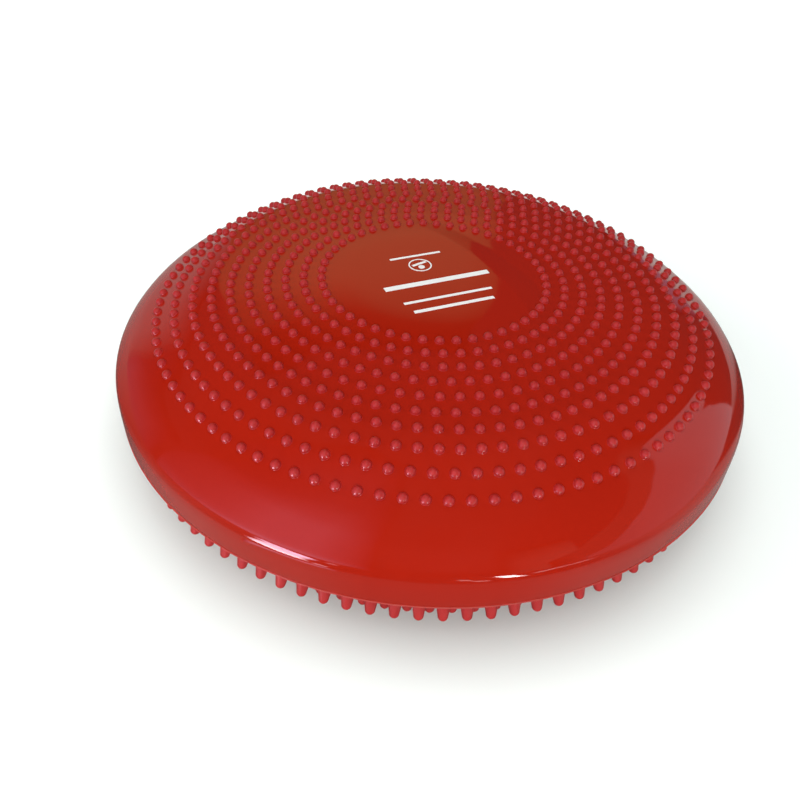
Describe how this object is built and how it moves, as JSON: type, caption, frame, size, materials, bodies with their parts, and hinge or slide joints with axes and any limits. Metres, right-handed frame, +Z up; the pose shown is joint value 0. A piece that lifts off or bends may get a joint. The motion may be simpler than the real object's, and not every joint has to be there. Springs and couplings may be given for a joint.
{
  "type": "wobble cushion",
  "caption": "Round inflatable balance disc with a nubbed upper face, a smooth shoulder, an upright rim band and a spiked lower face.",
  "frame": {"origin": "centre of the disc on the floor, at the tips of the innermost ring of spikes", "axes": "+Z up along the disc's axis, +Y towards the plug valve in the rim, -Y towards the viewer"},
  "size_m": [0.3307, 0.3306, 0.0891],
  "materials": {
    "skin": "glossy soft PVC",
    "nubs": "satin soft PVC",
    "spikes": "satin soft PVC",
    "ink": "printed ink",
    "seat": "soft PVC",
    "core": "dull",
    "plug": "soft PVC"
  },
  "bodies": {
    "base": {"lower_panel": "skin", "spikes_1": "spikes", "spikes_2": "spikes", "spikes_3": "spikes", "spikes_4": "spikes", "spikes_5": "spikes", "spikes_6": "spikes", "spikes_7": "spikes", "spikes_8": "spikes"},
    "fold": {"lower_fold": "skin", "spikes_9": "spikes"},
    "shell": {"rim_band": "skin", "spikes_10": "spikes", "flash_line": "skin", "shoulder": "skin", "valve_seat": "seat", "valve_core": "core"},
    "top": {"upper_panel": "skin", "nubs_1": "nubs", "nubs_2": "nubs", "nubs_3": "nubs", "nubs_4": "nubs", "nubs_5": "nubs", "nubs_6": "nubs", "nubs_7": "nubs", "nubs_8": "nubs", "nubs_9": "nubs", "nubs_10": "nubs", "print_mark": "ink"},
    "plug": {"valve_plug": "plug"}
  },
  "joints": [
    {"name": "rock_x", "type": "hinge", "parent": "base", "child": "fold", "pos_m": [0, 0, 0.025], "axis": [1, 0, 0], "range_deg": [-4.5, 4.5], "stiffness_Nm_per_rad": 60},
    {"name": "rock_y", "type": "hinge", "parent": "fold", "child": "shell", "pos_m": [0, 0, 0.025], "axis": [0, 1, 0], "range_deg": [-4.5, 4.5], "stiffness_Nm_per_rad": 60},
    {"name": "sink", "type": "slide", "parent": "shell", "child": "top", "axis": [0, 0, -1], "range_m": [0, 0.014], "stiffness_N_per_m": 12000},
    {"name": "plug_pull", "type": "slide", "parent": "shell", "child": "plug", "axis": [0, 1, 0], "range_m": [0, 0.01]}
  ]
}
